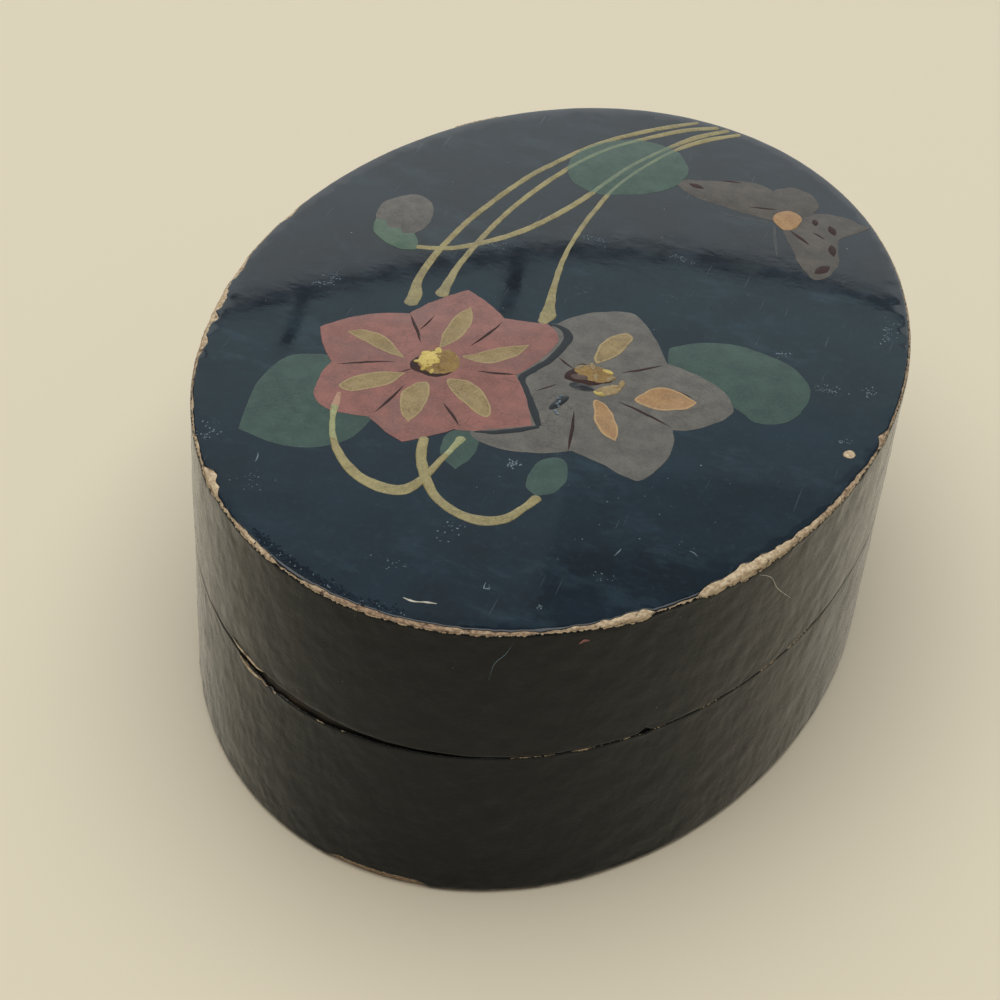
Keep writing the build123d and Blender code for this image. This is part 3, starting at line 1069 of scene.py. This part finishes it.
def dome(name, centre, radius, height, material, seed, lumps, stretch, turn=0.0):
    """A lump of thick paint, domed and uneven."""
    around = np.linspace(0, 2 * math.pi, 72, endpoint=False)
    cosine = math.cos(turn)
    sine = math.sin(turn)
    rings = []
    for share in (1.0, 1.0, 0.92, 0.8, 0.64, 0.48, 0.32, 0.16, 0.03):
        x = share * radius * stretch[0] * np.cos(around)
        y = share * radius * stretch[1] * np.sin(around)
        across = centre[0] + x * cosine - y * sine
        along = centre[1] + x * sine + y * cosine
        spots = np.column_stack([across, along, around * 0])
        swing = 1 + 0.1 * wander(spots, 1.2, seed) * share
        spots[:, 0] = centre[0] + (spots[:, 0] - centre[0]) * swing
        spots[:, 1] = centre[1] + (spots[:, 1] - centre[1]) * swing
        rise = height * math.sqrt(max(1 - share ** 2, 0)) * (1 + lumps * wander(spots, 0.7, seed + 5))
        spots[:, 2] = lid_face + (rise if rings else -paint_root)
        rings.append(spots * mm)
    dress(through_rings(name, rings), material, "lid", "top_lacquer")


# Flower centres: crusted paint, in lumps of two golds, with ragged painted shadows at their lower left
# Painted shadow of the rose's centre: a flat dark patch that shows at its lower left
patch("rose_centre_shadow", smooth_loop([
    (-12.1, -13.4), (-11.6, -12.2), (-10.6, -11.5), (-9.2, -11.2), (-8.0, -12.0), (-7.6, -13.6),
    (-8.4, -15.2), (-9.8, -15.8), (-11.4, -15.4), (-12.4, -14.4),
]), 0.070, brown_line_and_painted_shadow, 91, 0.3)
dome("rose_centre", (-9.8, -12.9), 2.25, 0.20, brown_gold, 92, 0.6, (1.05, 1.08))
dome("rose_centre_crust", (-10.7, -12.9), 1.3, 0.26, yellow_paint, 110, 0.8, (1.0, 1.25))
dice = np.random.default_rng(3)
for number in range(1, 23):
    turn = dice.uniform(0, 2 * math.pi)
    reach = 2.1 * math.sqrt(dice.uniform(0, 1))
    spot = (-9.9 + reach * math.cos(turn), -12.9 + reach * math.sin(turn))
    finish = yellow_paint if spot[0] < -9.7 else brown_gold
    size = dice.uniform(0.3, 0.6)
    dome(f"rose_lump_{number}", spot, size, 0.25, finish, 200 + number, 0.6, (1.4, 0.8), turn)
mauve_lump = smooth_loop([
    (3.5, -9.6), (3.7, -7.9), (4.5, -6.8), (6.0, -6.7), (7.7, -7.6), (8.0, -9.1), (6.4, -10.0), (4.8, -10.3),
])
# Painted shadow of the mauve centre's crust, shifted to its lower left
patch("mauve_centre_shadow", mauve_lump + (-0.35, -0.45), 0.060, brown_line_and_painted_shadow, 93, 0.4)
dome("mauve_crust", (5.7, -8.4), 1.0, 0.16, brown_gold, 94, 0.8, (2.2, 1.55))
dome("mauve_crust_dark", (4.6, -9.6), 0.8, 0.18, mauve_heart, 95, 0.6, (1.3, 0.7), 0.2)
dome("mauve_centre_drop", (5.2, -11.2), 1.0, 0.12, black_paint, 96, 0.6, (1.4, 0.7))
dome("mauve_crust_low", (7.9, -10.7), 1.0, 0.18, petal_gold, 97, 0.8, (1.6, 0.85), 0.8)
mauve_lumps = [
    (4.0, -7.9), (5.2, -7.2), (6.9, -7.5), (7.6, -8.6), (6.1, -8.9), (7.2, -11.6), (8.3, -9.9), (8.9, -9.0),
]
for number, spot in enumerate(mauve_lumps, 1):
    finish = petal_gold if number % 3 else yellow_paint
    dome(f"mauve_lump_{number}", spot, 0.45, 0.23, finish, 220 + number, 0.6, (1.5, 0.75), number)
dome("lacquer_drop", (3.9, -14.8), 0.55, 0.11, black_paint, 98, 0.2, (1.0, 3.2), math.radians(-18))
# Painted glints on the drop: pale flecks that stand for the light it reflects
flecks_at("lacquer_drop_glints", (3.9, -14.9), (0.5, 1.3), 9, 0.4, pale_scuff_and_glint, 99, 0.11)

# Tendrils below the rose flower, their paint paler where they cross other paint
tendril_left = stroke("tendril_left", [
    (-17.0, -22.2), (-16.6, -24.2), (-16.0, -26.4), (-14.7, -29.4), (-12.8, -32.0), (-10.2, -34.1),
    (-7.4, -34.9), (-5.4, -34.4), (-4.4, -32.4), (-3.9, -29.6), (-3.4, -26.6), (-3.1, -24.5),
], [0.5, 1.0, 0.6, 0.7, 1.0, 1.2, 1.6, 1.5, 1.0, 0.75, 0.65, 1.0], 0.095, gold_paint, 101)
repaint(tendril_left, rose_outline, pink_stem)
repaint(tendril_left, [(-18.2, -24.4), (-14.0, -24.4), (-14.0, -29.6), (-18.2, -29.6)], broken_stem)
repaint(tendril_left, [(-4.4, -27.6), (-2.0, -27.6), (-2.0, -23.6), (-4.4, -23.6)], broken_stem)
stroke("tendril_right", [
    (-6.5, -26.0), (-5.8, -28.6), (-4.4, -31.4), (-2.2, -34.2), (0.4, -35.7), (2.9, -35.9), (4.9, -34.8),
    (6.0, -32.6), (6.7, -30.6),
], [1.0, 1.1, 1.1, 1.0, 1.2, 1.4, 1.2, 0.9, 1.1], 0.105, gold_paint, 102)

# Chip through the facing, near the right edge
patch("facing_chip", smooth_loop([
    (32.7, -11.9), (32.8, -11.1), (33.4, -10.7), (33.8, -11.3), (33.5, -12.0),
]), 0.06, board_material, 111, 0.15)

# Scuffs, dust, flaked spots and painted glints of crazed lacquer on the lid: place, spread, number of flecks,
# size
scuffs_and_glints = [
    ((33.0, 13.0), (0.8, 2.6), 16, 0.34), ((33.0, 0.2), (0.7, 1.6), 10, 0.30),
    ((29.0, -1.2), (1.8, 0.8), 16, 0.30), ((23.2, 3.6), (0.9, 0.5), 8, 0.30),
    ((21.5, -1.4), (1.4, 1.0), 8, 0.28), ((32.3, -9.6), (0.8, 0.8), 7, 0.26),
    ((7.9, 17.8), (1.6, 0.7), 12, 0.34), ((-2.4, 17.6), (2.0, 0.7), 14, 0.34),
    ((-26.2, -3.2), (1.2, 1.6), 14, 0.34), ((-11.8, 11.8), (1.4, 1.0), 8, 0.26),
    ((2.9, -26.2), (0.9, 1.4), 9, 0.40), ((7.0, -27.2), (1.0, 1.5), 10, 0.34),
    ((0.7, -38.6), (1.2, 2.2), 9, 0.30), ((11.9, -45.4), (0.4, 0.5), 5, 0.40),
    ((6.7, -44.7), (0.3, 0.4), 4, 0.30), ((-2.3, -44.9), (1.8, 0.7), 8, 0.22),
    ((16.2, -39.4), (1.0, 1.2), 6, 0.22), ((-26.0, -33.5), (1.2, 1.8), 12, 0.30),
    ((-19.0, -38.6), (1.8, 1.4), 8, 0.24), ((-3.0, -4.0), (9.0, 12.0), 12, 0.20),
    ((8.0, 30.0), (14.0, 8.0), 12, 0.18), ((14.0, -28.0), (12.0, 9.0), 14, 0.20),
    ((-20.0, 24.0), (6.0, 9.0), 9, 0.18),
]
# Pale flecks: real scuffs and dust, and painted glints where the lacquer is crazed
for number, (place, spread, count, size) in enumerate(scuffs_and_glints, 1):
    flecks_at(f"lid_scuff_and_glint_{number}", place, spread, 2 * count, 0.75 * size, pale_scuff_and_glint, 300 + number)
front_scratch = [(0.2, -49.0), (1.2, -49.1), (2.2, -48.8), (3.2, -48.6)]
stroke("lid_scratch_front", front_scratch, [0.08, 0.25, 0.12, 0.28, 0.1], 0.02, white_fibre, 331, 0.12)
scratches = [
    [(15.9, -36.0), (16.1, -35.2), (16.3, -34.6)], [(22.2, -32.5), (22.7, -32.6), (23.1, -32.9)],
    [(6.3, -44.2), (6.4, -44.9), (6.8, -45.0)], [(-20.4, -34.6), (-20.1, -35.4), (-20.0, -36.0)],
]
for number, points in enumerate(scratches, 1):
    stroke(f"lid_scratch_{number}", points, [0.04, 0.14, 0.05], 0.012, pale_scuff_and_glint, 331 + number, 0.12)

# Dark, bruised lacquer just inside the front left edge, with painted glints among it
for number, bearing in enumerate(range(-114, -89, 3), 1):
    angle = math.radians(bearing)
    place = on_oval(angle, 1.1 * mm, 0)[:2] / mm
    lie = math.atan2(half_length * math.cos(angle), -half_width * math.sin(angle))
    many = 48 if bearing < -100 else 22
    flecks_at(f"bruise_{number}", place, (1.9, 0.5), many, 0.35, bruised_lacquer, 350 + number, 0.03, lie)
    # Painted glints: tiny pale flecks that stand for light caught by the cracked lacquer
    flecks_at(f"bruise_painted_glint_{number}", place, (1.9, 0.5), 4, 0.14, pale_scuff_and_glint, 370 + number, 0.05, lie)

# Hairs and fibres caught on the lid's wall, with their radius in millimetres
wall_hair = [(-72.6, 33.4), (-73.6, 31.8), (-75.0, 30.6), (-75.6, 28.6)]
wall_fibre = [(-37.6, 33.0), (-35.2, 31.6), (-33.4, 29.4), (-29.9, 26.4)]
wall_blemish = [(-63.9, 32.4), (-63.3, 32.7), (-62.5, 32.6)]
thread("wall_hair", wall_hair, 0.035, pale_scuff_and_glint, "lid")
thread("wall_fibre", wall_fibre, 0.06, white_fibre, "lid")
thread("wall_blemish", wall_blemish, 0.16, rose_paint, "lid")

# Torn paper on both lips of the gaping seam
torn_upper = [(-120.5, 19.2), (-118.6, 19.1), (-116.4, 19.2), (-114.0, 19.1), (-112.4, 19.3)]
torn_lower = [(-118.4, 18.2), (-116.6, 17.9), (-114.4, 17.9), (-112.8, 18.0)]
thread("torn_lip_upper", torn_upper, 0.11, board_material, "lid")
thread("torn_lip_lower", torn_lower, 0.14, board_material, "base")

# Studio: plain pale floor, soft lights
floor_size = 6.0
floor_mesh = bpy.data.meshes.new("floor")
floor_mesh.from_pydata(
    [(x * floor_size, y * floor_size, 0) for x, y in ((-1, -1), (1, -1), (1, 1), (-1, 1))], [], [(0, 1, 2, 3)]
)
floor = bpy.data.objects.new("floor", floor_mesh)
bpy.context.scene.collection.objects.link(floor)
floor_surface = Surface("floor", roughness=0.7, specular=0.2)
floor_mesh.materials.append(floor_surface.finish((219, 210, 188)))


def soft_light(name, place, side, above, width, height, radiance, colour):
    """A soft rectangular light. side and above are the directions of its width and its height."""
    lamp = bpy.data.lights.new(name, "AREA")
    lamp.shape = "RECTANGLE"
    lamp.size = width
    lamp.size_y = height
    lamp.energy = radiance * math.pi * width * height
    lamp.color = colour
    light = bpy.data.objects.new(name, lamp)
    bpy.context.scene.collection.objects.link(light)
    turn = Matrix((side, above, side.cross(above))).transposed().to_4x4()
    light.matrix_world = Matrix.Translation(place) @ turn
    light.visible_camera = False


# Window wall beyond the box, whose panes the lid mirrors, with a dark rail across it
wall_azimuth = math.radians(-15)
wall_distance = 2.0
wall_edge = 1.3
rail_height = 1.18
sky_low = 0.20
sky_height = 0.14
sky_split = 0.07
pane_blue = (0.72, 1.0, 1.06)
wall_out = Vector((math.sin(wall_azimuth), math.cos(wall_azimuth), 0))
wall_right = Vector((math.cos(wall_azimuth), -math.sin(wall_azimuth), 0))
wall_up = Vector((0, 0, 1))
wall_centre = Vector((0, 0, lid_top)) + wall_out * wall_distance + wall_up * rail_height


def window_pane(name, left, right, low, high, radiance, colour):
    """One pane, from left to right and low to high on the wall, measured from its rail."""
    place = wall_centre + wall_right * (left + right) / 2 + wall_up * (low + high) / 2
    soft_light(name, place, -wall_right, wall_up, right - left, high - low, radiance, colour)


window_pane("pane_low", -wall_edge, wall_edge, -1.05, -0.20, 0.80, (0.96, 1.0, 1.0))
window_pane("pane_by_rail", -wall_edge, wall_edge, -0.20, -0.012, 0.66, (0.92, 1.0, 1.0))
window_pane("pane_mid_left", -wall_edge, -0.318, 0.012, 0.085, 0.48, pane_blue)
window_pane("pane_mid", -0.303, -0.062, 0.012, 0.085, 0.48, pane_blue)
window_pane("pane_mid_right", -0.043, wall_edge, 0.012, 0.085, 0.48, pane_blue)
window_pane("pane_high", -wall_edge, wall_edge, 0.085, sky_low, 0.46, pane_blue)
for step in range(7):
    low = sky_low + step * sky_height
    high = low + sky_height
    left_radiance = 0.42 - 0.05 * min(step, 3)
    right_radiance = 0.40 - 0.14 * min(step, 2)
    window_pane(f"sky_left_{step + 1}", -wall_edge, sky_split, low, high, left_radiance, (0.72, 1.0, 1.12))
    window_pane(f"sky_right_{step + 1}", sky_split, wall_edge, low, high, right_radiance, (0.68, 1.0, 1.14))
soft_light(
    "overhead",
    Vector((-0.2, -0.1, 2.2)),
    side=Vector((1, 0, 0)),
    above=Vector((0, 1, 0)),
    width=3.0,
    height=3.0,
    radiance=2.15,
    colour=(1.0, 0.98, 0.94),
)

world_grey = 0.18
world = bpy.context.scene.world or bpy.data.worlds.new("world")
bpy.context.scene.world = world
world.use_nodes = True
background = world.node_tree.nodes["Background"]
background.inputs["Color"].default_value = (world_grey, world_grey, world_grey, 1)
background.inputs["Strength"].default_value = 1.0
bpy.context.scene.view_settings.view_transform = "Standard"

# Camera, placed as the photograph's was fitted: lengths are in half widths of the box, and the focal
# length in widths of the picture
camera_azimuth = math.radians(16.03)
camera_elevation = math.radians(38.06)
camera_roll = math.radians(-4.63)
camera_distance = 6.483
camera_aside = -0.1335
camera_above = 0.2089
camera_focal = 2.008
sensor_width = 36.0

backwards = Vector((
    math.sin(camera_azimuth) * math.cos(camera_elevation),
    -math.cos(camera_azimuth) * math.cos(camera_elevation),
    math.sin(camera_elevation),
))
level_right = Vector((0, 0, 1)).cross(backwards).normalized()
level_up = backwards.cross(level_right)
camera_right = level_right * math.cos(camera_roll) - level_up * math.sin(camera_roll)
camera_up = level_right * math.sin(camera_roll) + level_up * math.cos(camera_roll)
camera_place = half_width * (
    backwards * camera_distance + camera_right * camera_aside + camera_up * camera_above
)
lens_data = bpy.data.cameras.new("camera")
lens_data.sensor_width = sensor_width
lens_data.lens = camera_focal * sensor_width
lens_data.clip_start = 0.005
camera = bpy.data.objects.new("camera", lens_data)
bpy.context.scene.collection.objects.link(camera)
camera.matrix_world = Matrix.Translation(camera_place) @ Matrix(
    (camera_right, camera_up, backwards)
).transposed().to_4x4()
bpy.context.scene.camera = camera
